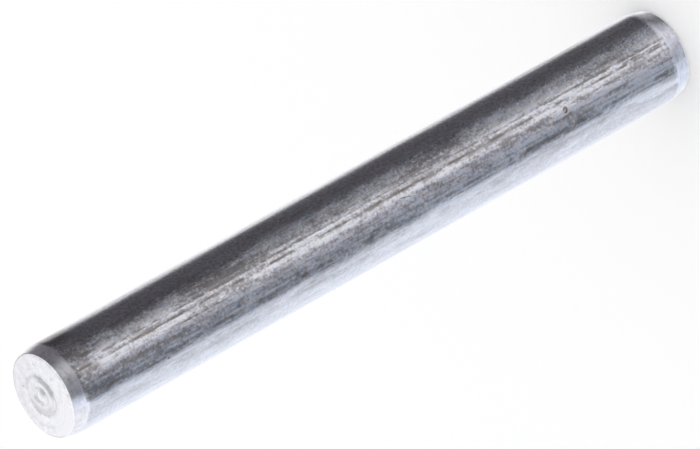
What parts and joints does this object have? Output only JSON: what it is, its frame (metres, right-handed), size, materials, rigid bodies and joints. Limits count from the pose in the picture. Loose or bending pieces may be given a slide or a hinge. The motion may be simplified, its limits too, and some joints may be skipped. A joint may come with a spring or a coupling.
{
  "type": "dowel pin",
  "caption": "Parallel steel dowel pin, a plain round bar with a long shallow chamfer at each end, that locates two drilled parts on each other.",
  "frame": {"origin": "centre of the flat end face that the pin stands on", "axes": "+Z along the pin's axis, towards the end face with the ring grooves; X and Y are alike, because the pin is round"},
  "size_m": [0.006, 0.006, 0.05],
  "materials": {
    "steel": "bright drawn bar with fine lengthwise draw marks, speckled, one small rust spot; ends turned"
  },
  "bodies": {
    "root": {"dowel_pin": "steel"}
  },
  "joints": []
}
